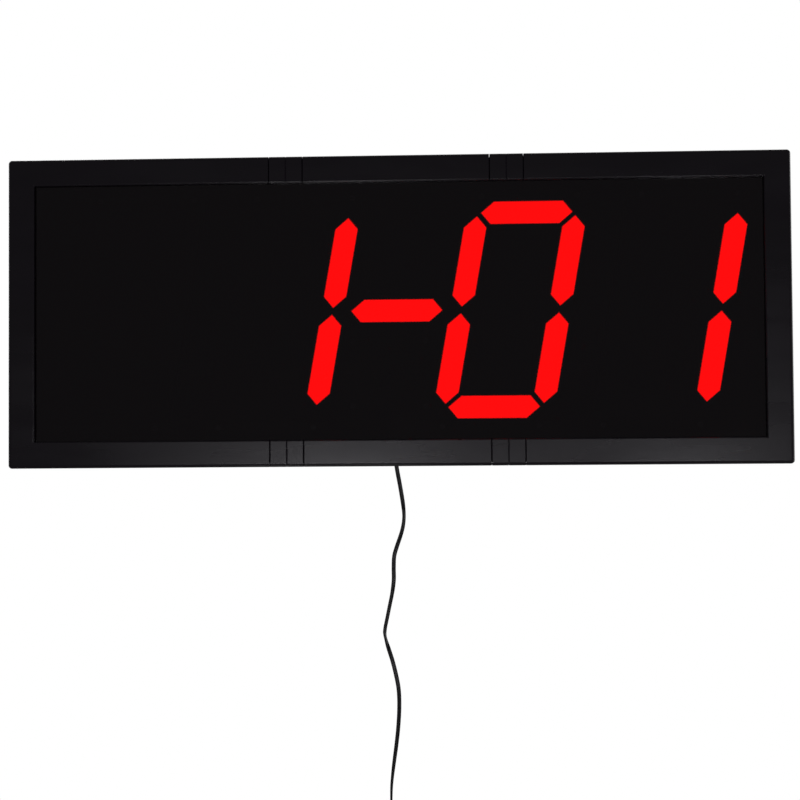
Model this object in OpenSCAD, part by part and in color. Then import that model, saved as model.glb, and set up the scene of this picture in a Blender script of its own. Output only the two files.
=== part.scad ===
// Gym round timer: a wall-hung display of four leaning seven-segment digits and a dash.
// +X is to the right, +Z is up and the display faces -Y. The origin is the centre of the
// rear face, which lies against the wall at y = 0.

/* [Housing] */
// Overall width of the frame
body_w = 730; // [725:5:760]
// Overall height of the frame
body_h = 290; // [290:5:320]
// Depth of the frame, from the wall to its front face
body_d = 38; // [37:1:44]
// Width of the frame's rails, seen from the front
rail_w = 25; // [24:1:26]
// Thickness of the frame's front wall
front_t = 4; // [3.5:0.5:4.5]
// Thickness of the frame's side walls and of the rear panel
wall_t = 2.5; // [2:0.5:2.5]
// Radius of the frame's outer edges and corners
edge_r = 3.5; // [2:0.5:4]
// Inner end of a rail joiner, from the centre line
joiner_in = 87; // [84:1:90]
// Width of a rail joiner
joiner_w = 31.5; // [28:0.5:34]
// Width of the seams between the frame's pieces
seam = 0.5; // [0.4:0.1:0.8]

/* [Display] */
// Width of a digit, between the middles of its upright segments
digit_w = 91.4; // [88:0.2:93]
// Height of a digit, between the middles of its top and bottom segments
digit_h = 181; // [170:1:184]
// Width of a segment's stroke
stroke = 21.2; // [16:0.2:22]
// Distance from a segment's tip to the corner where two segments meet
tip_gap = 3.0; // [2.5:0.1:5]
// Lean of the digits, in degrees
lean = 10; // [8:1:10]
// Distance of the inner digits from the centre line
inner_x = 105.8; // [105:0.2:107]
// Distance between the two digits of a pair
pitch = 150; // [146:1:152]
// Depth of the digit blocks
block_t = 13.2; // [11:0.2:13.2]
// Thickness of the smoked lens
lens_t = 2.5; // [2:0.5:3]

/* [Wall fixing] */
// Distance between the two keyholes
keyhole_pitch = 480; // [474:1:486]
// Height of the keyholes above the centre
keyhole_z = 85; // [80:1:87]
// Diameter of a keyhole's entry hole
keyhole_d = 9; // [8.5:0.5:9.5]
// Width of a keyhole's slot
slot_w = 4.5; // [4:0.5:5]

/* [Buttons and lead] */
// Diameter of the rear buttons
button_d = 8; // [7:0.5:9]
// Travel of the rear buttons
button_travel = 1; // [0.5:0.1:1]
// Diameter of the low-voltage lead
lead_d = 4; // [3.5:0.1:4]

/* [Hidden] */

$fn = 48;
hull_fn = 32;     // facets of the rounded corners
cut = 1;          // how far a cutting shape runs past a face
bevel = 1;        // bevel round the window's front edge
seam_bevel = 0.4; // bevel along both edges of a seam
fit = 0.3;        // gap between the rear panel and the frame

// Depths, from the front to the wall
front_y = -body_d;
seat_y = front_y + front_t;           // rear of the front wall, where the lens seats
seal_t = 0.8;
lens_y = seat_y + seal_t;             // front of the lens
block_y = lens_y + lens_t + 0.5;      // front of the digit blocks
board_t = 1.6;
board_y = block_y + block_t;          // front of the segment boards
board_back = board_y + board_t;
panel_y = -wall_t;                    // inner face of the rear panel
jack_x = -3;                          // axis of the power jack
jack_y = -9;
jack_size = [9, 11, 14];
control_back = jack_y - jack_size[1] / 2;
control_y = control_back - board_t;

// Window and lens
window_w = body_w - 2 * rail_w;
window_h = body_h - 2 * rail_w;
lens_lap = 9;                         // how far the lens reaches behind the rails
panel_w = body_w - 2 * (wall_t + fit);
panel_h = body_h - 2 * (wall_t + fit);

// Joiners
joiner_out = joiner_in + joiner_w;
groove_x = (joiner_in + joiner_out + seam) / 2;
seam_x = [joiner_in + seam / 2, groove_x, joiner_out + seam / 2];
tongue_l = 20;                        // how far a joiner's tongue reaches into each rail
tongue_t = 3;

// Screws of the rear panel, and the posts that they enter
screw_r = 1.2;
post_r = 3.2;
post_inset = 8;                       // from the frame's outer edge
post_x = body_w / 2 - post_inset;
post_z = body_h / 2 - post_inset;
side_posts = [[post_x, 0], [post_x, 115], [post_x, -115], [240, post_z], [240, -post_z]];
top_posts = [[-50, post_z], [50, post_z]];
head_r = 2.8;

// Segments: middle of each, and whether it stands upright
A = [0, digit_h / 2, false];
B = [digit_w / 2, digit_h / 4, true];
C = [digit_w / 2, -digit_h / 4, true];
D = [0, -digit_h / 2, false];
E = [-digit_w / 2, -digit_h / 4, true];
F = [-digit_w / 2, digit_h / 4, true];
G = [0, 0, false];
ALL_SEGMENTS = [A, B, C, D, E, F, G];

// The display reads "1-01", with its first digit off
ONE_LIT = [B, C];
ONE_UNLIT = [A, D, E, F, G];
ZERO_LIT = [A, B, C, D, E, F];
ZERO_UNLIT = [G];
digit_x = [-inner_x - pitch, -inner_x, inner_x, inner_x + pitch];

// Digit blocks and their boards
block_rim = 2.5;
block_hw = digit_w / 2 + stroke / 2 + block_rim;
block_hh = digit_h / 2 + stroke / 2 + block_rim;
dash_hw = digit_w / 2 - 0.4;
dash_hh = stroke / 2 + block_rim;
diffuser_t = 1.5;
board_inset = 1.3;                    // from the block's outline, at the sides
board_hw = block_hw - board_inset;
board_hh = block_hh + 8.4;
board_hole_x = 45;
board_hole_z = board_hh - 4;
dash_board_hh = 22;
dash_hole_x = 30;
dash_hole_z = dash_board_hh - 4;
led_r = 2.5;
led_h = 3.5;
led_step = 12;                        // spacing of the five lamps in a segment
standoff_r = 3.5;

// Control board, behind and below the dash
control_x = [-46, 30];
control_z = [-92, -24];
control_holes = [[-42.5, -27.5], [26.5, -27.5], [-42.5, -88.5], [26.5, -88.5]];
button_x = [-38, -25, -12, 1];
button_z = -36;
flange_r = 5.3;
flange_gap = 0.3;
flange_t = 1.4;
switch_size = 6;
switch_h = 4;
button_rest_y = -0.5;                 // outer face of a button, just inside the wall plane
button_bevel = 0.5;
stem_r = 1.6;
stem_clear = 0.3;
switch_floor = 1.2;                   // of a switch's well, above the board
stem_end_y = control_back + switch_floor + button_travel + 0.6;
buzzer_x = 18;
buzzer_z = -75;
buzzer_r = 11;
buzzer_h = 8;
cell_x = -32;
cell_z = -72;
cell_r = 10;
cell_t = 3.2;

// Ribbon cables between the boards, from one connector to the next
ribbon_z = -52;
ribbon_w = 12;
ribbon_t = 0.9;
ribbon_y = -6.5;
connector_top = -8.4;
connector_size = [6, 16];
ribbon_runs = [[-224, -155], [-75, -42], [26, 57], [137, 207]];
dash_ribbon_x = 14;
dash_ribbon_z = [-36, -12];

// Pocket for the power plug, open to the wall and downwards
pocket_hw = 16;
pocket_y = -16.5;
pocket_top = -98;
pocket_wall = 2;

// Power plug, hanging from the jack in the pocket
barrel_r = 2.75;
barrel_l = 9.5;
plug_r = 5;
plug_grip_l = 20;
plug_taper_l = 16;
lead_r = lead_d / 2;
lead_top = pocket_top - plug_grip_l - plug_taper_l;

// Route of the lead from the plug down to the coil
LEAD_ROUTE = [[-3, -9, -134], [-3, -9, -138], [-2.5, -9, -143], [-1.5, -9, -150], [0.5, -9, -161],
    [2.5, -9, -173], [4, -9, -184], [4.5, -9.5, -193], [3.5, -10, -202], [1, -10, -211],
    [-2.5, -10, -221], [-5, -10, -230], [-5.5, -10.5, -241], [-5.5, -11, -252],
    [-7, -11, -264], [-9.5, -11, -276], [-12, -11.5, -288], [-14, -12, -298],
    [-14, -12, -304], [-12, -12, -312], [-9.5, -12, -320], [-7, -12.5, -328],
    [-4, -13, -340], [-1.5, -13.5, -354], [-1, -14, -370], [-2, -14.5, -388],
    [-4, -15, -406], [-6.5, -15.5, -424], [-8.5, -16, -442], [-9, -16, -458],
    [-9, -16, -471.3]];

// Coil of the spare lead, hanging below, and the tail from it to the adapter
coil_z = -500;
coil_y = -16;
coil_r = 23.3;
coil_side = 3 * lead_d + 0.4;
coil_corner_r = lead_r;
tie_t = 0.8;
tie_w = 4;
TAIL_ROUTE = [[-11, -16, -528.2], [-11, -16, -534], [-11, -16, -540]];
gland_l = 16;
adapter_x = -11;
adapter_size = [42, 28, 66];
adapter_r = 4;
prong_size = [1.5, 16, 6.35];
prong_gap = 12.7;
prong_z = -602;

// --- Shapes that repeat ---------------------------------------------------------------

module box(low, high) {
    translate(low) cube(high - low);
}

// A cylinder that starts at a point and runs towards the wall
module rod(start, r, length) {
    translate(start) rotate([-90, 0, 0]) cylinder(h = length, r = r);
}

// A flat outline in X and Z, from depth y1 to depth y2
module slab(y1, y2) {
    translate([0, y2, 0]) rotate([90, 0, 0]) linear_extrude(y2 - y1) children();
}

module rectangle(w, h) {
    square([w, h], center = true);
}

module rounded_rectangle(w, h, r) {
    rectangle(w, h - 2 * r);
    rectangle(w - 2 * r, h);
    for (x = [-1, 1], y = [-1, 1]) translate([x * (w / 2 - r), y * (h / 2 - r)]) circle(r);
}

function leaned(p) = [p[0] + p[1] * tan(lean), p[1]];

// Four-sided outline that leans with the digits
module leaning_outline(hw, hh) {
    polygon([for (p = [[-hw, -hh], [hw, -hh], [hw, hh], [-hw, hh]]) leaned(p)]);
}

// One segment: a bar with a right-angled tip at each end
module segment(place) {
    reach = place[2] ? digit_h / 4 - tip_gap : digit_w / 2 - tip_gap;
    half = stroke / 2;
    tips = [[-reach, 0], [half - reach, half], [reach - half, half],
        [reach, 0], [reach - half, -half], [half - reach, -half]];
    polygon([for (p = tips) leaned([place[0], place[1]] + (place[2] ? [p[1], p[0]] : p))]);
}

module segments(list) {
    for (place = list) segment(place);
}

// --- Frame ----------------------------------------------------------------------------

module frame_outside() {
    hull() for (x = [-1, 1], z = [-1, 1]) {
        translate([x * (body_w / 2 - edge_r), front_y + edge_r, z * (body_h / 2 - edge_r)]) {
            sphere(edge_r, $fn = hull_fn);
            rotate([-90, 0, 0]) cylinder(h = body_d - edge_r, r = edge_r, $fn = hull_fn);
        }
    }
}

module window_cut() {
    slab(front_y - cut, seat_y + cut) rectangle(window_w, window_h);
    hull() {
        slab(front_y - cut, front_y) rectangle(window_w + 2 * bevel, window_h + 2 * bevel);
        slab(front_y, front_y + bevel) rectangle(window_w, window_h);
    }
}

// Shallow V-grooves that bevel the front and outer edges of every seam
module seam_grooves() {
    side = (seam + 2 * seam_bevel) / sqrt(2);
    for (x = seam_x, s = [-1, 1]) {
        translate([s * x, front_y, 0]) rotate([0, 0, 45]) cube([side, side, 2 * body_h], center = true);
        for (z = [-1, 1]) translate([s * x, 0, z * body_h / 2]) rotate([0, 45, 0])
            cube([side, 2 * body_d, side], center = true);
    }
}

module frame_ring() {
    difference() {
        frame_outside();
        slab(seat_y, cut) rectangle(body_w - 2 * wall_t, body_h - 2 * wall_t);
        window_cut();
        seam_grooves();
    }
}

// Part of the ring between two distances from the centre line, with its screw posts
module frame_piece(x1, x2, z1, z2, posts) {
    difference() {
        union() {
            intersection() {
                frame_ring();
                box([x1, front_y - cut, z1], [x2, cut, z2]);
            }
            for (p = posts) rod([p[0], seat_y - 0.5, p[1]], post_r, panel_y - seat_y + 0.5);
        }
        for (p = posts) rod([p[0], seat_y + 6, p[1]], screw_r + 0.05, body_d);
    }
}

module frame_end() {
    frame_piece(joiner_out + seam, body_w, -body_h, body_h, side_posts);
}

module frame_right() {
    color("#17161a") frame_end();
}

module frame_left() {
    color("#17161a") mirror([1, 0, 0]) frame_end();
}

module frame_top() {
    color("#17161a") frame_piece(-joiner_in, joiner_in, 0, body_h, top_posts);
}

module frame_bottom() {
    color("#2b2b2f") difference() {
        frame_piece(-joiner_in, joiner_in, -body_h, 0, [for (p = top_posts) [p[0], -p[1]]]);
        box([jack_x - pocket_hw, pocket_y, -body_h],
            [jack_x + pocket_hw, cut, -body_h / 2 + wall_t + cut]);
    }
}

// Joiner of the upper right: a length of rail with a tongue that enters both neighbours
module joiner() {
    difference() {
        frame_piece(joiner_in + seam, joiner_out, 0, body_h, []);
        box([groove_x - seam / 2, front_y - cut, 0], [groove_x + seam / 2, front_y + seam, body_h]);
    }
    box([joiner_in - tongue_l, seat_y, body_h / 2 - 15],
        [joiner_out + tongue_l, seat_y + tongue_t, body_h / 2 - wall_t - seam]);
}

module joiner_top_right() {
    color("#17161a") joiner();
}

module joiner_top_left() {
    color("#17161a") mirror([1, 0, 0]) joiner();
}

module joiner_bottom_right() {
    color("#2b2b2f") mirror([0, 0, 1]) joiner();
}

module joiner_bottom_left() {
    color("#2b2b2f") mirror([1, 0, 0]) mirror([0, 0, 1]) joiner();
}

// --- Lens -----------------------------------------------------------------------------

module lens() {
    color("#0f0c0e") slab(lens_y, lens_y + lens_t)
        rectangle(window_w + 2 * lens_lap, window_h + 2 * lens_lap);
}

// Foam tape between the lens and the front wall
module lens_seal() {
    margin = 1;
    color("#101010") slab(seat_y, lens_y) difference() {
        rectangle(window_w + 2 * lens_lap, window_h + 2 * lens_lap);
        rectangle(window_w + 2 * margin, window_h + 2 * margin);
    }
}

// --- Digits ---------------------------------------------------------------------------

// A black block with a well for each segment, open to the lamps behind
module digit_block(i) {
    color("#121214") translate([digit_x[i], 0, 0]) slab(block_y, board_y) difference() {
        leaning_outline(block_hw, block_hh);
        segments(ALL_SEGMENTS);
    }
}

module digit_1_block() { digit_block(0); }
module digit_2_block() { digit_block(1); }
module digit_3_block() { digit_block(2); }
module digit_4_block() { digit_block(3); }

module dash_block() {
    color("#121214") slab(block_y, board_y) difference() {
        leaning_outline(dash_hw, dash_hh);
        segment(G);
    }
}

// Diffusing windows that fill the fronts of the wells
module diffusers(x, list, tint) {
    color(tint) translate([x, 0, 0]) slab(block_y, block_y + diffuser_t) segments(list);
}

LIT = "#ff0000";
UNLIT = "#2a2224";
module digit_1_unlit() { diffusers(digit_x[0], ALL_SEGMENTS, UNLIT); }
module digit_2_lit() { diffusers(digit_x[1], ONE_LIT, LIT); }
module digit_2_unlit() { diffusers(digit_x[1], ONE_UNLIT, UNLIT); }
module dash_lit() { diffusers(0, [G], LIT); }
module digit_3_lit() { diffusers(digit_x[2], ZERO_LIT, LIT); }
module digit_3_unlit() { diffusers(digit_x[2], ZERO_UNLIT, UNLIT); }
module digit_4_lit() { diffusers(digit_x[3], ONE_LIT, LIT); }
module digit_4_unlit() { diffusers(digit_x[3], ONE_UNLIT, UNLIT); }

// Fixing holes of the segment boards
digit_holes = [for (x = [-1, 1], z = [-1, 1]) leaned([x * board_hole_x, z * board_hole_z])];
dash_holes = [for (s = [-1, 1]) leaned([s * dash_hole_x, -s * dash_hole_z])];
board_holes = concat(
    [for (x = digit_x, h = digit_holes) [x + h[0], h[1]]],
    dash_holes);

module board(hw, hh, holes) {
    color("#1d4a2b") slab(board_y, board_back) difference() {
        leaning_outline(hw, hh);
        for (h = holes) translate(h) circle(screw_r + 0.3);
    }
}

module digit_board(i) {
    translate([digit_x[i], 0, 0]) board(board_hw, board_hh, digit_holes);
}

module digit_1_board() { digit_board(0); }
module digit_2_board() { digit_board(1); }
module digit_3_board() { digit_board(2); }
module digit_4_board() { digit_board(3); }
module dash_board() { board(dash_hw - board_inset, dash_board_hh, dash_holes); }

// Five lamps in a row behind a segment
module segment_leds(x, place) {
    for (k = [-2:2]) {
        along = k * led_step;
        spot = leaned([place[0], place[1]] + (place[2] ? [0, along] : [along, 0]));
        translate([x + spot[0], board_y, spot[1]]) rotate([90, 0, 0]) {
            cylinder(h = led_h, r = led_r);
            translate([0, 0, led_h]) sphere(led_r);
        }
    }
}

module leds() {
    color("#d8c8c8") {
        for (x = digit_x, place = ALL_SEGMENTS) segment_leds(x, place);
        segment_leds(0, G);
    }
}

// A pan-head screw whose head bears on a face at depth y and whose shank enters the post
module pan_screw(x, y, z, length) {
    rod([x, y - 1.6, z], head_r, 1.6);
    rod([x, y, z], screw_r, length);
}

module board_screws() {
    color("#b9bcc0") {
        for (h = board_holes) pan_screw(h[0], board_y, h[1], 8);
        for (h = control_holes) pan_screw(h[0], control_y, h[1], 8);
    }
}

// --- Rear panel -----------------------------------------------------------------------

panel_screw_places = concat(side_posts, [for (p = side_posts) [-p[0], p[1]]],
    top_posts, [for (p = top_posts) [p[0], -p[1]]]);

module keyhole_cut(x, y1, y2) {
    rod([x, y1, keyhole_z], keyhole_d / 2, y2 - y1);
    rod([x, y1, keyhole_z + 9], slot_w / 2, y2 - y1);
    box([x - slot_w / 2, y1, keyhole_z], [x + slot_w / 2, y2, keyhole_z + 9]);
}

module countersink(x, z) {
    h = 1.8;
    hole_r = screw_r + 0.4;
    rod([x, panel_y - cut, z], hole_r, wall_t + 2 * cut);
    translate([x, -h, z]) rotate([-90, 0, 0]) cylinder(h = h, r1 = hole_r, r2 = head_r + 0.3);
}

// Vents behind the rails, where no light from them reaches the lens
module vent_slots() {
    half = [8, 1.5];
    z = (window_h / 2 + post_z) / 2 + 2;
    for (x = [-310:20:-270], side = [-1, 1], end = [-1, 1])
        box([side * x - half[0], panel_y - cut, end * z - half[1]],
            [side * x + half[0], cut, end * z + half[1]]);
}

module rear_panel() {
    color("#1a1a1c") difference() {
        slab(panel_y, 0) rectangle(panel_w, panel_h);
        box([jack_x - pocket_hw, panel_y - cut, -body_h], [jack_x + pocket_hw, cut, pocket_top]);
        for (s = panel_screw_places) countersink(s[0], s[1]);
        for (side = [-1, 1]) keyhole_cut(side * keyhole_pitch / 2, panel_y - cut, cut);
        for (x = button_x) rod([x, panel_y - cut, button_z], button_d / 2 + 0.3, wall_t + 2 * cut);
        rod([buzzer_x, panel_y - cut, buzzer_z], 1.2, wall_t + 2 * cut);
        for (a = [0:60:300])
            rod([buzzer_x + 5 * cos(a), panel_y - cut, buzzer_z + 5 * sin(a)], 1.2, wall_t + 2 * cut);
        vent_slots();
    }
}

// Box behind the panel's cut-out, open to the wall and downwards, with the jack's hole in its top
module plug_pocket() {
    color("#1a1a1c") difference() {
        box([jack_x - pocket_hw - pocket_wall, pocket_y - pocket_wall, -panel_h / 2],
            [jack_x + pocket_hw + pocket_wall, panel_y, pocket_top + pocket_wall]);
        box([jack_x - pocket_hw, pocket_y, -body_h], [jack_x + pocket_hw, cut, pocket_top]);
        translate([jack_x, jack_y, pocket_top - cut])
            cylinder(h = pocket_wall + 2 * cut, r = barrel_r + 0.6);
    }
}

// Posts that carry the segment boards and the control board on the rear panel
module board_standoffs() {
    bore_l = 9;
    color("#d9d6cc") difference() {
        union() {
            for (h = board_holes) rod([h[0], board_back, h[1]], standoff_r, panel_y - board_back);
            for (h = control_holes) rod([h[0], control_back, h[1]], standoff_r, panel_y - control_back);
        }
        for (h = board_holes) rod([h[0], board_back - cut, h[1]], screw_r + 0.05, bore_l);
        for (h = control_holes) rod([h[0], control_back - cut, h[1]], screw_r + 0.05, bore_l);
    }
}

// Countersunk screws with a cross recess
module panel_screws() {
    tip_y = -12;
    head_y = -0.2;
    head_h = 1.5;
    recess = [3.2, 1, 0.7];
    color("#8d9095") for (s = panel_screw_places) difference() {
        union() {
            translate([s[0], head_y - head_h, s[1]]) rotate([-90, 0, 0])
                cylinder(h = head_h, r1 = screw_r + 0.2, r2 = head_r);
            rod([s[0], tip_y, s[1]], screw_r, head_y - head_h + 0.1 - tip_y);
        }
        for (turn = [0, 90]) translate([s[0], head_y, s[1]]) rotate([0, turn, 0])
            cube([recess[0], 2 * recess[1], recess[2]], center = true);
    }
}

// Steel plates that line the keyholes on the inside of the panel
module keyhole_plates() {
    plate_t = 1.2;
    color("#a7abb0") for (side = [-1, 1]) difference() {
        translate([side * keyhole_pitch / 2, 0, keyhole_z + 3])
            box([-14, panel_y - plate_t, -13], [14, panel_y, 13]);
        keyhole_cut(side * keyhole_pitch / 2, panel_y - plate_t - cut, panel_y + cut);
    }
}

// --- Control board and what it carries --------------------------------------------------

module control_board() {
    color("#1d4a2b") difference() {
        box([control_x[0], control_y, control_z[0]], [control_x[1], control_back, control_z[1]]);
        for (h = control_holes) rod([h[0], control_y - cut, h[1]], screw_r + 0.3, board_t + 2 * cut);
    }
}

// A part that stands on the wall side of the control board
module on_control(x, z, w, h, tall) {
    translate([x, control_back, z]) box([-w / 2, 0, -h / 2], [w / 2, tall, h / 2]);
}

module processor_chip() {
    color("#222225") on_control(-11, -70, 12, 12, 1.6);
}

module driver_chips() {
    color("#222225") for (x = [-26, -12, 2]) on_control(x, -52, 10, 5, 1.8);
}

module capacitors() {
    color("#2d3140") {
        rod([-12, control_back, -84], 4, 9);
        rod([12, control_back, -60], 3, 8);
    }
}

module buzzer() {
    color("#141416") difference() {
        rod([buzzer_x, control_back, buzzer_z], buzzer_r, buzzer_h);
        rod([buzzer_x, control_back + 1, buzzer_z], 1.5, buzzer_h);
    }
}

// Receiver for the remote control, looking forward through the lens
module ir_receiver() {
    color("#202024") translate([-8, 0, -60]) {
        box([-3.5, control_y - 9, -3.5], [3.5, control_y - 5, 4]);
        translate([0, control_y - 9, 0]) sphere(2.5);
        for (x = [-2.5, 0, 2.5]) rod([x, control_y - 5.2, 0], 0.35, 5.2);
    }
}

module dc_jack() {
    hole_r = barrel_r + 0.4;
    base_z = pocket_top + pocket_wall;
    color("#18181a") {
        difference() {
            translate([jack_x, jack_y, base_z + jack_size[2] / 2]) cube(jack_size, center = true);
            translate([jack_x, jack_y, base_z - cut]) cylinder(h = 9 + cut, r = hole_r);
        }
        translate([jack_x, jack_y, base_z]) cylinder(h = 10, r = 1);
    }
}

module coin_cell_holder() {
    color("#2a2a2c") difference() {
        rod([cell_x, control_back, cell_z], cell_r + 1.5, cell_t + 1.2);
        rod([cell_x, control_back + 1, cell_z], cell_r + 0.1, cell_t + cut);
    }
}

module coin_cell() {
    color("#c9ccd0") rod([cell_x, control_back + 1, cell_z], cell_r, cell_t);
}

module button_switches() {
    color("#2b2b2e") for (x = button_x) difference() {
        on_control(x, button_z, switch_size, switch_size, switch_h);
        rod([x, control_back + switch_floor, button_z], stem_r + stem_clear, switch_h);
    }
}

// A button: outer cap, inner flange that keeps it in the panel, and the stem to its switch
module button(i) {
    flange_y = panel_y - flange_gap - flange_t;
    color("#3a3a3e") {
        rod([button_x[i], flange_y, button_z], button_d / 2, button_rest_y - button_bevel - flange_y);
        translate([button_x[i], button_rest_y - button_bevel, button_z]) rotate([-90, 0, 0])
            cylinder(h = button_bevel, r1 = button_d / 2, r2 = button_d / 2 - button_bevel);
        rod([button_x[i], flange_y, button_z], flange_r, flange_t);
        rod([button_x[i], stem_end_y, button_z], stem_r, flange_y - stem_end_y + 0.2);
    }
}

module mode_button() { button(0); }
module up_button() { button(1); }
module down_button() { button(2); }
module start_button() { button(3); }

// --- Ribbon cables ------------------------------------------------------------------------

module connector(x, z, y) {
    box([x - connector_size[0] / 2, y, z - connector_size[1] / 2],
        [x + connector_size[0] / 2, connector_top, z + connector_size[1] / 2]);
}

// The two runs nearest the centre have one end on the control board, which lies further back
module ribbon_connectors() {
    ends = concat(ribbon_runs[0], [ribbon_runs[1][0]], [ribbon_runs[2][1]], ribbon_runs[3]);
    color("#e8e4d8") {
        for (x = ends) connector(x, ribbon_z, board_back);
        for (x = [ribbon_runs[1][1], ribbon_runs[2][0]]) connector(x, ribbon_z, control_back);
        translate([dash_ribbon_x, 0, 0]) rotate([0, 90, 0]) {
            connector(-dash_ribbon_z[0], 0, control_back);
            connector(-dash_ribbon_z[1], 0, board_back);
        }
    }
}

// A flat ribbon that rises from one connector, runs across and dips into the next
module ribbon(x1, x2) {
    half = ribbon_t / 2;
    linear_extrude(ribbon_w, center = true) polygon([
        [x1 - half, connector_top], [x1 - half, ribbon_y + half], [x2 + half, ribbon_y + half],
        [x2 + half, connector_top], [x2 - half, connector_top], [x2 - half, ribbon_y - half],
        [x1 + half, ribbon_y - half], [x1 + half, connector_top]]);
}

module ribbon_cables() {
    color("#8a8d92") {
        for (run = ribbon_runs) translate([0, 0, ribbon_z]) ribbon(run[0], run[1]);
        translate([dash_ribbon_x, 0, 0]) rotate([0, 90, 0]) ribbon(-dash_ribbon_z[1], -dash_ribbon_z[0]);
    }
}

// --- Power lead -----------------------------------------------------------------------------

// Direction of the route at point i, and the two directions across it
function along(route, i) =
    let (a = route[max(i - 1, 0)], b = route[min(i + 1, len(route) - 1)]) (b - a) / norm(b - a);
function across(t) = let (v = [0, 1, 0] - t[1] * t) v / norm(v);

function tube_points(route, r, sides) = [
    for (i = [0:len(route) - 1])
        let (t = along(route, i), u = across(t), v = cross(t, u))
            for (k = [0:sides - 1])
                route[i] + r * (cos(360 * k / sides) * u + sin(360 * k / sides) * v)];

function tube_faces(rings, sides) = concat(
    [[for (k = [0:sides - 1]) k]],
    [for (i = [0:rings - 2], k = [0:sides - 1])
        let (n = (k + 1) % sides)
            [i * sides + k, (i + 1) * sides + k, (i + 1) * sides + n, i * sides + n]],
    [[for (k = [sides - 1:-1:0]) (rings - 1) * sides + k]]);

module tube(route, r) {
    sides = 8;
    polyhedron(tube_points(route, r, sides), tube_faces(len(route), sides));
}

module lead_hanging() {
    color("#101012") tube(LEAD_ROUTE, lead_r);
}

module lead_tail() {
    color("#101012") tube(TAIL_ROUTE, lead_r);
}

// Outer shape of the coiled lead, with rounded edges
module lead_coil() {
    color("#101012") translate([0, coil_y, coil_z]) rotate([90, 0, 0]) rotate_extrude($fn = 96)
        translate([coil_r, 0]) rounded_rectangle(coil_side, coil_side, coil_corner_r);
}

// Bands round the coil, at its top and at its bottom
module coil_ties() {
    hole = coil_side + 0.4;
    outer = hole + 2 * tie_t;
    color("#1c1c1e") for (s = [-1, 1]) translate([-tie_w / 2, coil_y, coil_z + s * coil_r])
        rotate([90, 0, 90]) linear_extrude(tie_w) difference() {
            rectangle(outer, outer);
            rectangle(hole, hole);
        }
}

module plug_barrel() {
    color("#c9ccd0") translate([jack_x, jack_y, pocket_top]) difference() {
        cylinder(h = barrel_l, r = barrel_r);
        translate([0, 0, -cut]) cylinder(h = barrel_l + 2 * cut, r = 1.25);
    }
}

// Moulded grip of the plug, with its tapered strain relief
module plug_body() {
    color("#131315") {
        translate([jack_x, jack_y, pocket_top - plug_grip_l]) cylinder(h = plug_grip_l, r = plug_r);
        translate([jack_x, jack_y, lead_top])
            cylinder(h = plug_taper_l, r1 = lead_r + 0.3, r2 = lead_r + 1.4);
    }
}

adapter_top = TAIL_ROUTE[len(TAIL_ROUTE) - 1][2] - gland_l;

module adapter_gland() {
    color("#131315") translate([adapter_x, coil_y, adapter_top])
        cylinder(h = gland_l, r1 = lead_r + 1.6, r2 = lead_r + 0.3);
}

// Rounded on every edge: what three rounded outlines, one along each axis, have in common
module adapter_body() {
    size = adapter_size;
    color("#161618") translate([adapter_x, coil_y, adapter_top - size[2] / 2]) intersection() {
        linear_extrude(size[2], center = true) rounded_rectangle(size[0], size[1], adapter_r);
        rotate([90, 0, 0]) linear_extrude(size[1], center = true)
            rounded_rectangle(size[0], size[2], adapter_r);
        rotate([90, 0, 90]) linear_extrude(size[0], center = true)
            rounded_rectangle(size[1], size[2], adapter_r);
    }
}

// Flat blades with chamfered tips and a hole near the tip
module adapter_prongs() {
    l = prong_size[1];
    half = prong_size[2] / 2;
    color("#c9ccd0") for (side = [-1, 1])
        translate([adapter_x + side * prong_gap / 2, coil_y - adapter_size[1] / 2, prong_z])
            rotate([90, 0, 90]) linear_extrude(prong_size[0], center = true) difference() {
                polygon([[0, -half], [1.5 - l, -half], [-l, 1.2 - half],
                    [-l, half - 1.2], [1.5 - l, half], [0, half]]);
                translate([4 - l, 0]) circle(1.6);
            }
}

frame_left();
frame_right();
frame_top();
frame_bottom();
joiner_top_left();
joiner_top_right();
joiner_bottom_left();
joiner_bottom_right();
lens();
lens_seal();
rear_panel();
plug_pocket();
panel_screws();
keyhole_plates();
digit_1_block();
digit_2_block();
digit_3_block();
digit_4_block();
dash_block();
digit_1_unlit();
digit_2_lit();
digit_2_unlit();
dash_lit();
digit_3_lit();
digit_3_unlit();
digit_4_lit();
digit_4_unlit();
digit_1_board();
digit_2_board();
digit_3_board();
digit_4_board();
dash_board();
leds();
board_standoffs();
board_screws();
ribbon_connectors();
ribbon_cables();
control_board();
processor_chip();
driver_chips();
capacitors();
buzzer();
ir_receiver();
dc_jack();
coin_cell_holder();
coin_cell();
button_switches();
mode_button();
up_button();
down_button();
start_button();
plug_barrel();
plug_body();
lead_hanging();
lead_coil();
coil_ties();
lead_tail();
adapter_gland();
adapter_body();
adapter_prongs();
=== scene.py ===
"""Looks of the wall-hung round timer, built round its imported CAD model. Every length is in metres."""

import math

import bmesh
import bpy
from mathutils import Matrix, Vector


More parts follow.
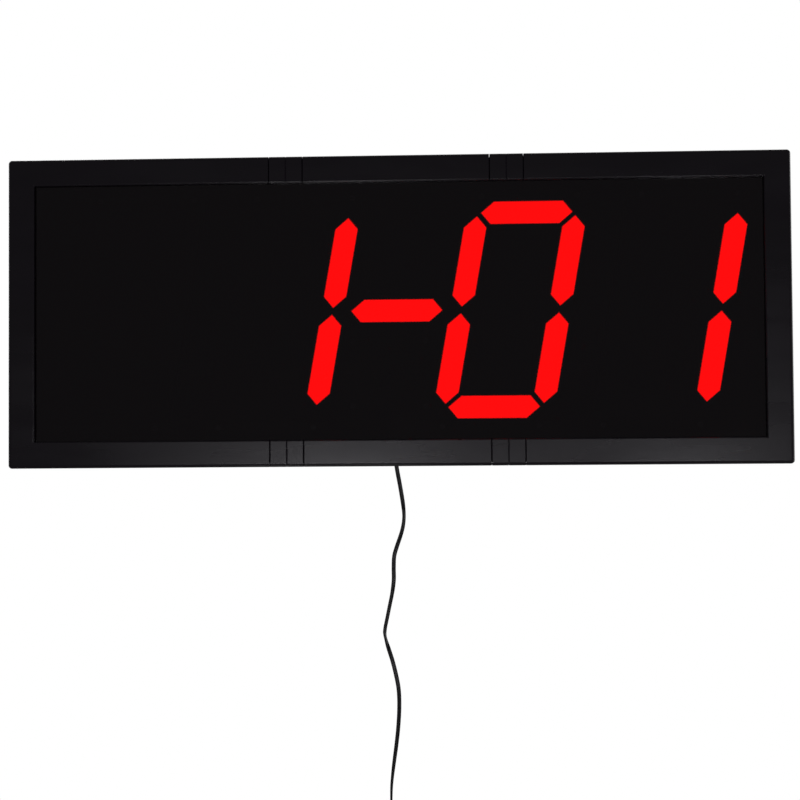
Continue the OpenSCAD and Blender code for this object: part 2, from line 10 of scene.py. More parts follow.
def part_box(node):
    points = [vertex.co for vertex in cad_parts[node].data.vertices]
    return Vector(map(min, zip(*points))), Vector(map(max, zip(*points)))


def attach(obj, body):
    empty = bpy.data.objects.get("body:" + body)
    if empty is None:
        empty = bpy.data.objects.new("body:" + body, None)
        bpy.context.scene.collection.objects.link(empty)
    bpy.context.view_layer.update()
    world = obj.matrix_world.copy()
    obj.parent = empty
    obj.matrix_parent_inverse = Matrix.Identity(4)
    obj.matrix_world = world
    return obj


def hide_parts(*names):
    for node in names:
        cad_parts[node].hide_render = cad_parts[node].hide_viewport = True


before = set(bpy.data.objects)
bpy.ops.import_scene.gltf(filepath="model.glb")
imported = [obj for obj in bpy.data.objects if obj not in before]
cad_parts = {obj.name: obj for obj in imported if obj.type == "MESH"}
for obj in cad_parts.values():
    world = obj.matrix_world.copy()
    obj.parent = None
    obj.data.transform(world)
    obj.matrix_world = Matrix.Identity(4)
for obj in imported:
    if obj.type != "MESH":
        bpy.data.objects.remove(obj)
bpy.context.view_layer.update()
HOUSING = "timer"                      # the body that everything but the buttons belongs to


# --- Camera ---------------------------------------------------------------------------------

CAMERA_PLACE = Vector((0.0642, -1.5184, -0.1310))
CAMERA_TARGET = Vector((0.0027, -0.0380, -0.0837))
CAMERA_ROLL = math.radians(-0.41)
FOCAL_LENGTH_MM = 72.0


def add_camera():
    """A camera a little below and to the right of the display's middle."""
    data = bpy.data.cameras.new("camera")
    data.lens = FOCAL_LENGTH_MM
    data.sensor_width = 36.0
    data.clip_start = 0.01
    camera = bpy.data.objects.new("camera", data)
    bpy.context.scene.collection.objects.link(camera)
    turn = (CAMERA_TARGET - CAMERA_PLACE).to_track_quat("-Z", "Y").to_matrix()
    camera.matrix_world = (Matrix.Translation(CAMERA_PLACE)
                           @ (turn @ Matrix.Rotation(CAMERA_ROLL, 3, "Z")).to_4x4())
    bpy.context.scene.camera = camera


add_camera()


# --- Mesh helpers -----------------------------------------------------------------------------

def add_mesh(name, points, faces, material_slot, smooth_angle=math.radians(40)):
    """A piece of the housing's body, smooth but for edges sharper than smooth_angle."""
    mesh = bpy.data.meshes.new(name)
    mesh.from_pydata([tuple(p) for p in points], [], faces)
    tidy = bmesh.new()
    tidy.from_mesh(mesh)
    bmesh.ops.recalc_face_normals(tidy, faces=tidy.faces)
    for edge in tidy.edges:
        edge.smooth = len(edge.link_faces) == 2 and edge.calc_face_angle() < smooth_angle
    for face in tidy.faces:
        face.smooth = True
    tidy.to_mesh(mesh)
    tidy.free()
    piece = bpy.data.objects.new(name, mesh)
    bpy.context.scene.collection.objects.link(piece)
    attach(piece, HOUSING)
    return piece


def skin(rings, closed=False):
    """Points and faces of a skin over rings of points: capped at both ends, or closed on itself."""
    count = len(rings[0])
    points = [p for ring in rings for p in ring]
    faces = []
    for i in range(len(rings) if closed else len(rings) - 1):
        a, b = i * count, (i + 1) % len(rings) * count
        for k in range(count):
            n = (k + 1) % count
            faces.append((a + k, a + n, b + n, b + k))
    if not closed:
        faces.append(tuple(range(count)))
        faces.append(tuple(reversed(range(len(points) - count, len(points)))))
    return points, faces


def extend(points, faces, rings, closed=False):
    """Adds a skin over rings to a mesh's points and faces."""
    more_points, more_faces = skin(rings, closed)
    faces += [tuple(i + len(points) for i in face) for face in more_faces]
    points += more_points


def lathe(name, centre, profile, material_slot, segments=40):
    """A piece turned about a vertical axis through centre, from (radius, height) pairs."""
    turns = [2 * math.pi * k / segments for k in range(segments)]
    rings = []
    for radius, height in profile:
        rings.append([centre + Vector((radius * math.cos(turn), radius * math.sin(turn), height))
                      for turn in turns])
    return add_mesh(name, *skin(rings), material_slot)


def rounded_rectangle(width, height, radius, steps=6):
    """Outline of a rectangle with round corners, as (x, y) pairs about its middle."""
    outline = []
    for quarter, (sx, sy) in enumerate(((1, 1), (-1, 1), (-1, -1), (1, -1))):
        for step in range(steps + 1):
            turn = math.pi / 2 * (quarter + step / steps)
            outline.append((sx * (width / 2 - radius) + radius * math.cos(turn),
                            sy * (height / 2 - radius) + radius * math.sin(turn)))
    return outline


def smooth_route(route, steps):
    """Points of a Catmull-Rom curve through the route."""
    points = [Vector(p) for p in route]
    padded = [2 * points[0] - points[1]] + points + [2 * points[-1] - points[-2]]
    curve = []
    for a, b, c, d in zip(padded, padded[1:], padded[2:], padded[3:]):
        for step in range(steps):
            t = step / steps
            curve.append(0.5 * (2 * b + (c - a) * t + (2 * a - 5 * b + 4 * c - d) * t ** 2
                                + (3 * b - a - 3 * c + d) * t ** 3))
    return curve + [points[-1]]


def between(value, table):
    """The value's entry in a table of (value, entry) pairs, smoothly between its rows.

    The rows are in falling order of value.
    """
    if value >= table[0][0]:
        return table[0][1]
    for (high, start), (low, end) in zip(table, table[1:]):
        if value >= low:
            t = (high - value) / (high - low)
            return start + (end - start) * t * t * (3 - 2 * t)
    return table[-1][1]


# --- Power lead -------------------------------------------------------------------------------

LEAD_WIDTH = 0.004
STRAND_RADIUS = 0.00105                # of each of the lead's two insulated strands
WEB_HALF_THICKNESS = 0.0007            # of the web that joins them

# The route from the plug down to the coil, as in the CAD model
LEAD_ROUTE = [
    (-0.0030, -0.0090, -0.134), (-0.0030, -0.0090, -0.138), (-0.0025, -0.0090, -0.143),
    (-0.0015, -0.0090, -0.150), (0.0005, -0.0090, -0.161), (0.0025, -0.0090, -0.173),
    (0.0040, -0.0090, -0.184), (0.0045, -0.0095, -0.193), (0.0035, -0.0100, -0.202),
    (0.0010, -0.0100, -0.211), (-0.0025, -0.0100, -0.221), (-0.0050, -0.0100, -0.230),
    (-0.0055, -0.0105, -0.241), (-0.0055, -0.0110, -0.252), (-0.0070, -0.0110, -0.264),
    (-0.0095, -0.0110, -0.276), (-0.0120, -0.0115, -0.288), (-0.0140, -0.0120, -0.298),
    (-0.0140, -0.0120, -0.304), (-0.0120, -0.0120, -0.312), (-0.0095, -0.0120, -0.320),
    (-0.0070, -0.0125, -0.328), (-0.0040, -0.0130, -0.340), (-0.0015, -0.0135, -0.354),
    (-0.0010, -0.0140, -0.370), (-0.0020, -0.0145, -0.388), (-0.0040, -0.0150, -0.406),
    (-0.0065, -0.0155, -0.424), (-0.0085, -0.0160, -0.442), (-0.0090, -0.0160, -0.458),
]

# How far the flat lead is twisted at each height, in degrees: at 0 it shows its width to the front
LEAD_TWIST = [
    (-0.134, 0), (-0.176, 8), (-0.192, 52), (-0.206, 34), (-0.222, 8), (-0.250, 4), (-0.268, 38),
    (-0.298, 46), (-0.306, 70), (-0.318, 20), (-0.330, 0), (-0.400, 30), (-0.462, 90),
]

COIL_CENTRE = Vector((0.0, -0.016, -0.500))
COIL_RADIUS = 0.0233
COIL_TURNS = 7.5
POINTS_A_TURN = 48
COIL_ROLL = 35                         # degrees that the flat lead rolls each way along the coil
POINTS_A_ROLL = 17                     # points of the coil to each radian of that rolling
ENTRY_BEND = 0.009                     # radius of the bend from the hanging lead into the coil
EXIT_BEND = 0.011                      # radius of the bend from the coil into the tail
TAIL_END = Vector((-0.011, -0.016, -0.552))

# Where each turn lies in the bundle: outwards from the middle, and towards the wall
COIL_PLACES = [(0.004, 0), (0.004, 0.004), (0, 0.004), (-0.004, 0.004), (-0.004, 0), (0, 0),
               (0, -0.004), (0.004, -0.004)]


def coil_points():
    """The lead's turns, clockwise from the coil's top to its bottom after seven turns and a half.

    In the last fifth of a turn the lead moves over to the next turn's place. Each turn also sways
    in and out a little, as hand-wound ones do, but not where turns meet.
    """
    changeover = 0.2
    sway_depth = 0.0004
    points = []
    for i in range(int(COIL_TURNS * POINTS_A_TURN) + 1):
        turn, part = divmod(i / POINTS_A_TURN, 1)
        here = Vector(COIL_PLACES[int(turn)])
        after = Vector(COIL_PLACES[min(int(turn) + 1, len(COIL_PLACES) - 1)])
        shift = max(0.0, (part - (1 - changeover)) / changeover)
        out, back = here.lerp(after, shift * shift * (3 - 2 * shift))
        angle = math.pi / 2 - 2 * math.pi * part
        sway = sway_depth * math.sin(3 * angle + 2 * turn) * min(1.0, 4 * part, 4 - 4 * part)
        radius = COIL_RADIUS + out + sway
        points.append(COIL_CENTRE + Vector((radius * math.cos(angle), back, radius * math.sin(angle))))
    return points


def bend_points(start, middle, end, steps=10):
    """A quarter bend that leaves start and reaches end, where middle is the corner that it rounds."""
    points = []
    for i in range(1, steps):
        t = math.pi / 2 * i / steps
        points.append(start + (middle - start) * math.sin(t) + (end - middle) * (1 - math.cos(t)))
    return points


def lead_path():
    """The whole lead: hanging stretch, bend, coil, bend and tail, with the number of hanging points."""
    coil = coil_points()
    foot = Vector((-ENTRY_BEND, COIL_CENTRE.y, coil[0].z + ENTRY_BEND))
    hanging = smooth_route(LEAD_ROUTE + [tuple(foot)], 5)
    entry = bend_points(foot, Vector((foot.x, foot.y, coil[0].z)), coil[0])
    drop = Vector((TAIL_END.x, TAIL_END.y, coil[-1].z - EXIT_BEND))
    leaving = bend_points(coil[-1], Vector((drop.x, coil[-1].y, coil[-1].z)), drop)
    return hanging + entry + coil + leaving + [drop, TAIL_END], len(hanging)


def twin_outline():
    """Section of the twin lead: two round strands and a thin web, as (across, deep) pairs."""
    offset = LEAD_WIDTH / 2 - STRAND_RADIUS
    steps = 8
    reach = 100                        # degrees that a strand is round for, each way from its side
    outline = []
    for side in (1, -1):
        for k in range(steps + 1):
            turn = math.radians(-reach + 2 * reach * k / steps)
            outline.append((side * (offset + STRAND_RADIUS * math.cos(turn)),
                            side * STRAND_RADIUS * math.sin(turn)))
        outline.append((0.0, side * WEB_HALF_THICKNESS))
    return outline


def twist_at(point, index, hanging_count):
    """The lead's twist at a point of its path, in radians."""
    if index < hanging_count:
        return math.radians(between(point.z, LEAD_TWIST))
    return math.radians(90 + COIL_ROLL * math.sin((index - hanging_count) / POINTS_A_ROLL))


def add_lead():
    path, hanging_count = lead_path()
    outline = twin_outline()
    rings = []
    for i, point in enumerate(path):
        along = (path[min(i + 1, len(path) - 1)] - path[max(i - 1, 0)]).normalized()
        deep = (Vector((0, 1, 0)) - along.y * along).normalized()
        across = along.cross(deep)
        twist = twist_at(point, i, hanging_count)
        wide = across * math.cos(twist) + deep * math.sin(twist)
        thin = deep * math.cos(twist) - across * math.sin(twist)
        rings.append([point + x * wide + y * thin for x, y in outline])
    lead = add_mesh("power_lead", *skin(rings), "lead_black", math.radians(60))
    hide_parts("lead_hanging", "lead_coil", "lead_tail")
    return lead, path


lead, LEAD_PATH = add_lead()


# --- Pieces on the lead -----------------------------------------------------------------------

def add_plug():
    """The power plug's moulded grip with finger grooves, and its strain relief with bending slots."""
    low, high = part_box("plug_body")
    radius = (high.x - low.x) / 2
    taper_length, slots, slot_depth = 0.016, 9, 0.0004
    end, neck = 0.0023, 0.0034         # radii of the strain relief, at the lead and at the grip
    grip_length, grooves, groove_depth = 0.020, 7, 0.0004
    first_groove, groove_pitch = 0.0030, 0.0017
    profile = []
    for i in range(slots):
        base = taper_length * i / slots
        wide = end + (neck - end) * i / slots
        profile += [(wide, base), (wide + 0.0001, base + 0.0011),
                    (wide - slot_depth, base + 0.0012), (wide - slot_depth, base + 0.0017)]
    profile += [(neck, taper_length), (radius - 0.0008, taper_length + 0.0003),
                (radius, taper_length + 0.0012)]
    for i in range(grooves):
        base = taper_length + first_groove + groove_pitch * i
        profile += [(radius, base), (radius - groove_depth, base + 0.0003),
                    (radius - groove_depth, base + 0.0008), (radius, base + 0.0011)]
    top = taper_length + grip_length
    profile += [(radius, top - 0.0008), (radius - 0.0006, top - 0.0001), (radius - 0.0012, top)]
    centre = Vector(((low.x + high.x) / 2, (low.y + high.y) / 2, low.z))
    plug = lathe("power_plug", centre, profile, "lead_black")
    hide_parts("plug_body")
    return plug


def add_gland():
    """The strain relief where the lead enters the adapter, ringed so that it bends."""
    low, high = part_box("adapter_gland")
    length = high.z - low.z
    wide, narrow = (high.x - low.x) / 2, 0.0023
    grooves, groove_depth = 8, 0.0005
    profile = [(wide, 0)]
    for i in range(grooves):
        base = length * (i + 0.25) / grooves
        radius = wide + (narrow - wide) * i / grooves
        profile += [(radius, base), (radius - groove_depth, base + 0.0001),
                    (radius - groove_depth, base + 0.0007), (radius - 0.0001, base + 0.0008)]
    profile.append((narrow, length))
    centre = Vector(((low.x + high.x) / 2, (low.y + high.y) / 2, low.z))
    gland = lathe("adapter_strain_relief", centre, profile, "lead_black")
    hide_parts("adapter_gland")
    return gland


def add_adapter():
    """The adapter's two half shells: rounded edges, a parting groove and a blank panel in the back."""
    low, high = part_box("adapter_body")
    size = high - low
    middle = (low + high) / 2
    edge, corner, panel_margin, panel_depth = 0.004, 0.006, 0.005, 0.0006
    groove, groove_half, groove_depth = size.y * 0.45, 0.0004, 0.0005
    panel = edge + panel_margin
    turns = [math.pi / 2 * step / 6 for step in range(7)]
    rounding = [(edge * (1 - math.sin(turn)), edge * (1 - math.cos(turn))) for turn in turns]
    # Each section is how far it lies from the back, and how far in from the sides
    sections = [(panel_depth, panel + 0.0006), (panel_depth, panel + 0.0002), (0.0002, panel),
                (0.0, panel - 0.0006)]
    sections += reversed(rounding)
    sections += [(groove - groove_half, 0), (groove - groove_half / 2, groove_depth),
                 (groove + groove_half / 2, groove_depth), (groove + groove_half, 0)]
    sections += [(size.y - depth, inset) for depth, inset in rounding]
    rings = []
    for depth, inset in sections:
        outline = rounded_rectangle(size.x - 2 * inset, size.z - 2 * inset, max(corner - inset, 0.0008))
        rings.append([Vector((middle.x + x, high.y - depth, middle.z + z)) for x, z in outline])
    shell = add_mesh("adapter_shell", *skin(rings), "adapter_black", math.radians(35))
    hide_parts("adapter_body")
    return shell


def add_grip_ribs():
    """Rows of low ribs on both sides of the adapter, to pull it by."""
    low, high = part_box("adapter_body")
    ribs, first_rib, pitch, half_length = 7, 0.022, 0.0032, 0.0075
    section = rounded_rectangle(0.0010, 0.0014, 0.0004, 3)
    y = (low.y + high.y) / 2
    points, faces = [], []
    for x in (low.x, high.x):
        for k in range(ribs):
            z = low.z + first_rib + pitch * k
            extend(points, faces, [[Vector((x + a, y + side * half_length, z + b)) for a, b in section]
                                   for side in (-1, 1)])
    return add_mesh("adapter_grip_ribs", points, faces, "adapter_black")


def add_ties():
    """Two wire ties round the coil. The top one's ends are twisted together in front."""
    low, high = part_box("coil_ties")
    width = high.x - low.x
    outer = high.y - low.y
    wire_radius, twist_radius, twist_length = 0.0006, 0.0007, 0.012
    steps, steps_a_half_turn = 36, 6
    points, faces = [], []
    section = rounded_rectangle(width, 0.0007, 0.0003, 3)
    for side in (-1, 1):
        middle = COIL_CENTRE + Vector((0, 0, side * COIL_RADIUS))
        loop = []
        for y, z in rounded_rectangle(outer - 0.0008, outer - 0.0008, 0.003, 5):
            out = Vector((0, y, z)).normalized()
            place = middle + Vector((0, y, z))
            loop.append([place + Vector((a, 0, 0)) + b * out for a, b in section])
        extend(points, faces, loop, closed=True)
    start = COIL_CENTRE + Vector((0, -outer / 2, COIL_RADIUS))
    around = [k * math.pi / 4 for k in range(8)]
    for strand in (0, math.pi):
        rings = []
        for i in range(steps + 1):
            turn = strand + math.pi * i / steps_a_half_turn
            lean = 0.0002 * i / steps_a_half_turn
            centre = start + Vector((twist_radius * math.cos(turn), twist_radius * math.sin(turn) - lean,
                                     -twist_length * i / steps))
            rings.append([centre + Vector((wire_radius * math.cos(a), wire_radius * math.sin(a), 0))
                          for a in around])
        extend(points, faces, rings)
    ties = add_mesh("coil_ties_wire", points, faces, "lead_black")
    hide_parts("coil_ties")
    return ties


plug = add_plug()
gland = add_gland()
adapter = add_adapter()
ribs = add_grip_ribs()
ties = add_ties()


# --- Materials --------------------------------------------------------------------------------

class Shader:
    """A material with one Principled shader, and short calls that add the nodes in front of it."""

    def __init__(self, name, colour, roughness, **plain):
        self.material = bpy.data.materials.new(name)
        self.material.use_nodes = True
        self.tree = self.material.node_tree
        self.bsdf = self.tree.nodes["Principled BSDF"]
        self.bsdf.inputs["Base Color"].default_value = (*colour, 1.0)
        self.bsdf.inputs["Roughness"].default_value = roughness
        for socket, value in plain.items():
            self.bsdf.inputs[socket.replace("_", " ").title()].default_value = value
        self.place = self.tree.nodes.new("ShaderNodeTexCoord").outputs["Object"]
        self.colour = colour
        self.roughness = roughness
        self.rounded = None

    def add(self, kind, **settings):
        node = self.tree.nodes.new("ShaderNode" + kind)
        for name, value in settings.items():
            setattr(node, name, value)
        return node

    def link(self, source, target):
        self.tree.links.new(source, target)

    def noise(self, size, detail=3.0, stretch=(1, 1, 1)):
        """Noise with features about size metres across, longer along axes whose stretch is over 1."""
        mapping = self.add("Mapping")
        mapping.inputs["Scale"].default_value = [1 / (size * s) for s in stretch]
        self.link(self.place, mapping.inputs["Vector"])
        noise = self.add("TexNoise")
        noise.inputs["Scale"].default_value = 1.0
        noise.inputs["Detail"].default_value = detail
        self.link(mapping.outputs["Vector"], noise.inputs["Vector"])
        return noise.outputs["Fac"]

    def spread(self, value, low, high, start=0.3, end=0.7):
        """The value's range from start to end, spread over low to high."""
        node = self.add("MapRange", interpolation_type="SMOOTHSTEP")
        for socket, number in (("From Min", start), ("From Max", end),
                               ("To Min", low), ("To Max", high)):
            node.inputs[socket].default_value = number
        self.link(value, node.inputs["Value"])
        return node.outputs["Result"]

    def mix(self, factor, first, second):
        """A colour from first to second. Each is a socket or a plain colour."""
        node = self.add("Mix", data_type="RGBA")
        self.link(factor, node.inputs["Factor"])
        for socket, colour in ((node.inputs[6], first), (node.inputs[7], second)):
            if isinstance(colour, bpy.types.NodeSocket):
                self.link(colour, socket)
            else:
                socket.default_value = (*colour, 1.0)
        return node.outputs[2]

    def shade(self, amount):
        return tuple(channel * amount for channel in self.colour)

    def edges(self, radius, full=0.90, none=0.995):
        """1 along edges and corners within radius, falling to 0 on open surfaces.

        The bounds are cosines: a softened surface turned further than full counts whole, and one
        turned less than none doesn't count."""
        bevel = self.add("Bevel", samples=6)
        bevel.inputs["Radius"].default_value = radius
        self.rounded = bevel.outputs["Normal"]
        normal = self.add("NewGeometry").outputs["Normal"]
        dot = self.add("VectorMath", operation="DOT_PRODUCT")
        self.link(bevel.outputs["Normal"], dot.inputs[0])
        self.link(normal, dot.inputs[1])
        return self.spread(dot.outputs["Value"], 1.0, 0.0, full, none)

    def bump(self, height, depth):
        """Relief of that depth, over the rounding that edges() gives to corners."""
        node = self.add("Bump")
        node.inputs["Distance"].default_value = depth
        self.link(height, node.inputs["Height"])
        if self.rounded:
            self.link(self.rounded, node.inputs["Normal"])
        self.link(node.outputs["Normal"], self.bsdf.inputs["Normal"])

    def mottle(self, size, low, high):
        """Uneven colour, from low to high times the plain one."""
        colour = self.mix(self.spread(self.noise(size), 0.0, 1.0), self.shade(low), self.shade(high))
        self.link(colour, self.bsdf.inputs["Base Color"])

    def uneven_gloss(self, size, swing, stretch=(1, 1, 1)):
        """Roughness that wanders by swing each way from the plain one."""
        rough = self.spread(self.noise(size, 4.0, stretch),
                            self.roughness - swing, self.roughness + swing)
        self.link(rough, self.bsdf.inputs["Roughness"])


def use(shader, *nodes):
    """Gives CAD nodes a material."""
    for name in nodes:
        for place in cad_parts[name].material_slots:
            place.material = shader.material


def finish(piece, shader):
    piece.data.materials.append(shader.material)


def moulded_plastic(name, colour, roughness, grain, depth, edge=0.0008):
    """Moulded plastic: spark-eroded grain, uneven gloss, and edges rubbed smoother, made paler by a
    painted highlight.
    """
    shader = Shader(name, colour, roughness)
    rubbed_and_highlit_edges = shader.edges(edge)
    body = shader.mix(shader.spread(shader.noise(0.06), 0.0, 1.0),
                      shader.shade(0.82), shader.shade(1.2))
    # The paler colour along the edges is a painted highlight; the lower roughness there is rubbed
    # polish.
    shader.link(shader.mix(rubbed_and_highlit_edges, body, shader.shade(2.2)), shader.bsdf.inputs["Base Color"])
    handled = shader.spread(shader.noise(0.035, 4.0, (4, 1, 1)), roughness - 0.05, roughness + 0.06)
    polish = shader.add("Math", operation="MULTIPLY_ADD")
    polish.inputs[1].default_value = -0.12
    shader.link(rubbed_and_highlit_edges, polish.inputs[0])
    shader.link(handled, polish.inputs[2])
    shader.link(polish.outputs["Value"], shader.bsdf.inputs["Roughness"])
    shader.bump(shader.noise(grain, 2.0), depth)
    return shader


def housing_plastic():
    return moulded_plastic("housing_plastic", (0.0028, 0.0009, 0.0042), 0.27, 0.00045, 0.000012)


def panel_plastic():
    return moulded_plastic("panel_plastic", (0.022, 0.022, 0.023), 0.55, 0.0008, 0.00006)


def adapter_plastic():
    return moulded_plastic("adapter_plastic", (0.014, 0.014, 0.015), 0.48, 0.0005, 0.00004)


def button_plastic():
    return moulded_plastic("button_plastic", (0.10, 0.10, 0.11), 0.42, 0.0003, 0.00001, 0.0004)


def smoked_acrylic():
    """The window: dark acrylic that passes part of the light, with a faint orange-peel polish."""
    shader = Shader("smoked_acrylic", (0.004, 0.002, 0.003), 0.06, alpha=0.8)
    shader.uneven_gloss(0.05, 0.02)
    shader.bump(shader.noise(0.008, 1.0), 0.000002)
    return shader


def foam():
    shader = Shader("foam_tape", (0.012, 0.012, 0.012), 0.9)
    shader.mottle(0.002, 0.6, 1.3)
    shader.bump(shader.noise(0.0006, 2.0), 0.0002)
    return shader


def lit_segment():
    """A diffuser with its lamps on, which glows less along its edges."""
    shader = Shader("lit_segment", (0.20, 0.005, 0.004), 0.5, emission_strength=27.0)
    glow = shader.mix(shader.edges(0.0014, 0.94, 0.9995), (1.0, 0.0, 0.0), (0.3, 0.0, 0.0))
    shader.link(glow, shader.bsdf.inputs["Emission Color"])
    shader.mottle(0.004, 0.85, 1.1)
    shader.bump(shader.noise(0.0004, 2.0), 0.00003)
    return shader


def unlit_segment():
    # A diffuser with its lamps off. Its near-black colour is painted shade, darker than a pale
    # diffuser's own colour, so it stays hidden in the dim light behind the smoked window.
    shader = Shader("unlit_segment", (0.010, 0.008, 0.009), 0.5)
    shader.mottle(0.004, 0.85, 1.15)
    shader.bump(shader.noise(0.0004, 2.0), 0.00003)
    return shader


def matt_black():
    shader = Shader("digit_block_black", (0.006, 0.006, 0.006), 0.75)
    shader.mottle(0.01, 0.8, 1.2)
    shader.bump(shader.noise(0.0006, 2.0), 0.00005)
    return shader


def circuit_board():
    """Green solder mask over copper areas, which show through it as paler patches."""
    shader = Shader("circuit_board", (0.012, 0.09, 0.035), 0.32, coat_weight=0.4)
    tracks = shader.add("TexVoronoi", feature="DISTANCE_TO_EDGE")
    tracks.inputs["Scale"].default_value = 160.0
    shader.link(shader.place, tracks.inputs["Vector"])
    copper = shader.spread(tracks.outputs["Distance"], 1.0, 0.0, 0.02, 0.05)
    shader.link(shader.mix(copper, shader.colour, shader.shade(1.9)), shader.bsdf.inputs["Base Color"])
    shader.bump(copper, 0.00003)
    return shader


def lamp_epoxy():
    shader = Shader("lamp_epoxy", (0.62, 0.42, 0.42), 0.12, transmission_weight=0.4)
    shader.mottle(0.003, 0.85, 1.05)
    return shader


def nylon():
    shader = Shader("nylon", (0.62, 0.59, 0.50), 0.45)
    shader.mottle(0.006, 0.9, 1.06)
    shader.bump(shader.noise(0.0005, 2.0), 0.00002)
    return shader


def ribbon_vinyl():
    """Grey ribbon cable: ten conductors side by side show as ridges, with painted shade in the grooves
    between them and a painted highlight on their crests.
    """
    shader = Shader("ribbon_vinyl", (0.20, 0.21, 0.23), 0.4)
    wave = shader.add("TexWave", wave_type="BANDS", bands_direction="Z")
    wave.inputs["Scale"].default_value = 130.0
    shader.link(shader.place, wave.inputs["Vector"])
    # Darker in the grooves and paler on the crests: painted shade and highlight that follow the ridges.
    shader.link(shader.mix(wave.outputs["Fac"], shader.shade(0.6), shader.shade(1.15)),
                shader.bsdf.inputs["Base Color"])
    shader.bump(wave.outputs["Fac"], 0.0003)
    return shader


def chip_epoxy():
    shader = Shader("chip_epoxy", (0.015, 0.015, 0.016), 0.6)
    shader.mottle(0.004, 0.8, 1.25)
    shader.bump(shader.noise(0.0003, 2.0), 0.00003)
    return shader


def metal(name, colour, roughness, scratches, depth):
    """Plated metal with fine scratches and slightly uneven tarnish."""
    shader = Shader(name, colour, roughness, metallic=1.0)
    shader.mottle(0.003, 0.8, 1.08)
    shader.uneven_gloss(0.002, 0.07, (6, 1, 1))
    shader.bump(shader.noise(scratches, 2.0, (12, 1, 1)), depth)
    return shader


def lead_vinyl():
    """The lead's soft black vinyl: a sheen weaker than hard plastic's, with patches from handling."""
    shader = Shader("lead_vinyl", (0.003, 0.003, 0.0034), 0.34)
    shader.bsdf.inputs["Specular IOR Level"].default_value = 0.28
    shader.mottle(0.01, 0.7, 1.5)
    shader.uneven_gloss(0.012, 0.09)
    shader.bump(shader.noise(0.0012, 3.0), 0.00005)
    return shader


housing = housing_plastic()
use(housing, "frame_left", "frame_right", "frame_top", "frame_bottom", "joiner_top_left",
    "joiner_top_right", "joiner_bottom_left", "joiner_bottom_right")
use(smoked_acrylic(), "lens")
use(foam(), "lens_seal")
use(panel_plastic(), "rear_panel", "plug_pocket")
use(button_plastic(), "mode_button", "up_button", "down_button", "start_button")
use(metal("zinc_plate", (0.50, 0.51, 0.53), 0.34, 0.0008, 0.00002), "panel_screws", "board_screws")
use(metal("plain_steel", (0.56, 0.57, 0.58), 0.30, 0.0010, 0.00003), "keyhole_plates", "coin_cell")
use(metal("bright_nickel", (0.72, 0.70, 0.66), 0.18, 0.0006, 0.00001), "plug_barrel", "adapter_prongs")
use(lit_segment(), "digit_2_lit", "dash_lit", "digit_3_lit", "digit_4_lit")
use(unlit_segment(), "digit_1_unlit", "digit_2_unlit", "digit_3_unlit", "digit_4_unlit")
use(matt_black(), "digit_1_block", "digit_2_block", "digit_3_block", "digit_4_block", "dash_block")
use(circuit_board(), "digit_1_board", "digit_2_board", "digit_3_board", "digit_4_board", "dash_board",
    "control_board")
use(lamp_epoxy(), "leds")
use(nylon(), "ribbon_connectors", "board_standoffs")
use(ribbon_vinyl(), "ribbon_cables")
use(chip_epoxy(), "processor_chip", "driver_chips", "capacitors", "buzzer", "ir_receiver", "dc_jack",
    "coin_cell_holder", "button_switches")
vinyl = lead_vinyl()
for piece in (lead, plug, gland, ties):
    finish(piece, vinyl)
adapter_finish = adapter_plastic()
for piece in (adapter, ribs):
    finish(piece, adapter_finish)


# --- Stage, world and lights ------------------------------------------------------------------

def add_floor():
    """A pale round floor well below the lead, small enough to stay out of the camera's view."""
    segments, radius, height = 96, 1.5, -1.05
    turns = [2 * math.pi * k / segments for k in range(segments)]
    mesh = bpy.data.meshes.new("floor")
    mesh.from_pydata([(radius * math.cos(t), radius * math.sin(t), height) for t in turns], [],
                     [tuple(range(segments))])
    floor = bpy.data.objects.new("floor", mesh)
    bpy.context.scene.collection.objects.link(floor)
    shader = Shader("floor_white", (0.35, 0.35, 0.35), 0.8, emission_strength=0.55)
    shader.bsdf.inputs["Emission Color"].default_value = (1.0, 1.0, 0.99, 1.0)
    shader.mottle(0.15, 0.98, 1.01)
    mesh.materials.append(shader.material)
    floor.visible_glossy = False
    floor.visible_diffuse = False


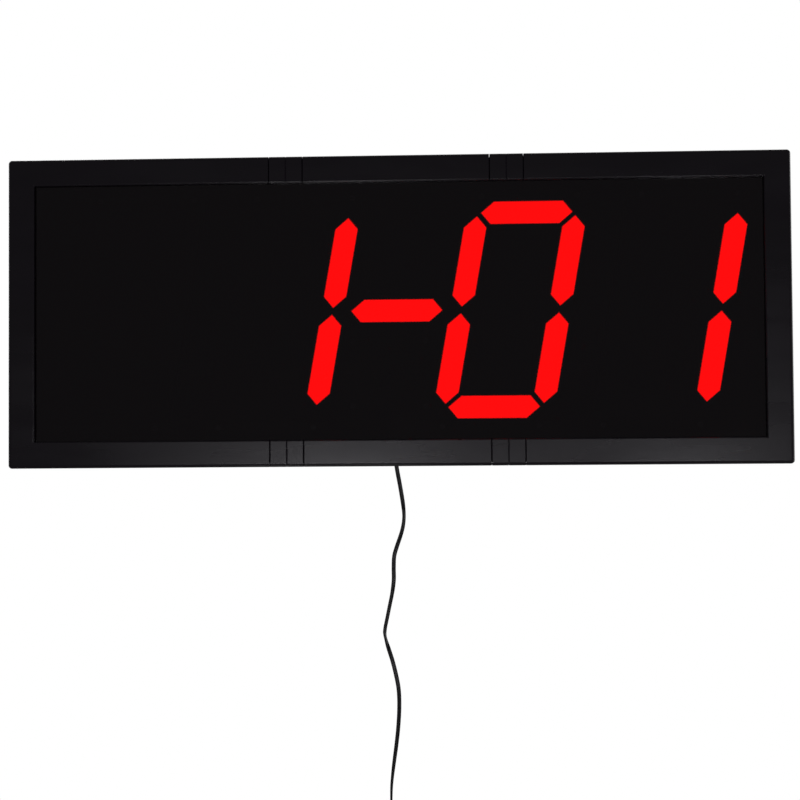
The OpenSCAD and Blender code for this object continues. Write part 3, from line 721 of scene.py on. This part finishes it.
def add_world():
    """White where the camera looks past the object, and a dim room for all else.

    What shows through the window, such as a vent behind it, sees the dim room too.
    """
    world = bpy.data.worlds.new("world")
    bpy.context.scene.world = world
    world.use_nodes = True
    tree = world.node_tree
    tree.nodes.clear()
    seen = tree.nodes.new("ShaderNodeBackground")
    seen.inputs["Color"].default_value = (1, 1, 1, 1)
    room = tree.nodes.new("ShaderNodeBackground")
    room.inputs["Color"].default_value = (1.0, 0.94, 1.0, 1)
    room.inputs["Strength"].default_value = 0.122
    rays = tree.nodes.new("ShaderNodeLightPath")
    through_nothing = tree.nodes.new("ShaderNodeMath")
    through_nothing.operation = "LESS_THAN"
    through_nothing.inputs[1].default_value = 0.5
    tree.links.new(rays.outputs["Transparent Depth"], through_nothing.inputs[0])
    background = tree.nodes.new("ShaderNodeMath")
    background.operation = "MULTIPLY"
    tree.links.new(rays.outputs["Is Camera Ray"], background.inputs[0])
    tree.links.new(through_nothing.outputs["Value"], background.inputs[1])
    choose = tree.nodes.new("ShaderNodeMixShader")
    output = tree.nodes.new("ShaderNodeOutputWorld")
    tree.links.new(background.outputs["Value"], choose.inputs["Fac"])
    tree.links.new(room.outputs["Background"], choose.inputs[1])
    tree.links.new(seen.outputs["Background"], choose.inputs[2])
    tree.links.new(choose.outputs["Shader"], output.inputs["Surface"])


FRONT_COLOUR = (0.97, 0.95, 1.0)       # of the lights in front, very faintly violet


def add_light(name, place, target, size, power, colour=(1, 1, 1)):
    """A soft rectangular light that the camera doesn't see."""
    data = bpy.data.lights.new(name, "AREA")
    data.shape = "RECTANGLE"
    data.size, data.size_y = size
    data.energy = power
    data.color = colour
    light = bpy.data.objects.new(name, data)
    light.location = place
    light.rotation_euler = (Vector(target) - Vector(place)).to_track_quat("-Z", "Y").to_euler()
    light.visible_camera = False
    bpy.context.scene.collection.objects.link(light)


add_floor()
add_world()

# Soft highlights along the bottom rail
add_light("front_wide", (0.05, -1.25, -0.31), (0.05, 0.0, -0.10), (1.08, 0.2), 0.47, FRONT_COLOUR)
add_light("front_middle", (-0.15, -1.25, -0.31), (-0.06, 0.0, -0.13), (0.24, 0.2), 1.0, FRONT_COLOUR)
add_light("front_right", (0.44, -1.25, -0.31), (0.28, 0.0, -0.13), (0.16, 0.2), 0.64, FRONT_COLOUR)

# A thin line along the top rail's inner edge
add_light("below_middle", (-0.10, -0.165, -0.60), (-0.05, -0.04, 0.12), (0.24, 0.05), 0.10)
add_light("below_right", (0.43, -0.165, -0.60), (0.31, -0.04, 0.12), (0.14, 0.05), 0.015)

# The frame's inner wall at the left
add_light("right_low", (1.7, -0.50, -0.55), (-0.30, -0.04, -0.12), (0.5, 0.4), 1.6)

# The top, the sides and the back
add_light("overhead", (0.0, 1.3, 1.1), (0.0, 0.0, 0.0), (3.0, 1.4), 10.0)
add_light("behind_left", (-1.4, 1.5, 0.4), (0.0, 0.0, -0.1), (2.0, 1.6), 24.0)
add_light("behind_right", (1.9, 0.85, 0.1), (0.0, 0.0, -0.1), (1.5, 1.6), 12.0)

bpy.context.scene.view_settings.view_transform = "Standard"
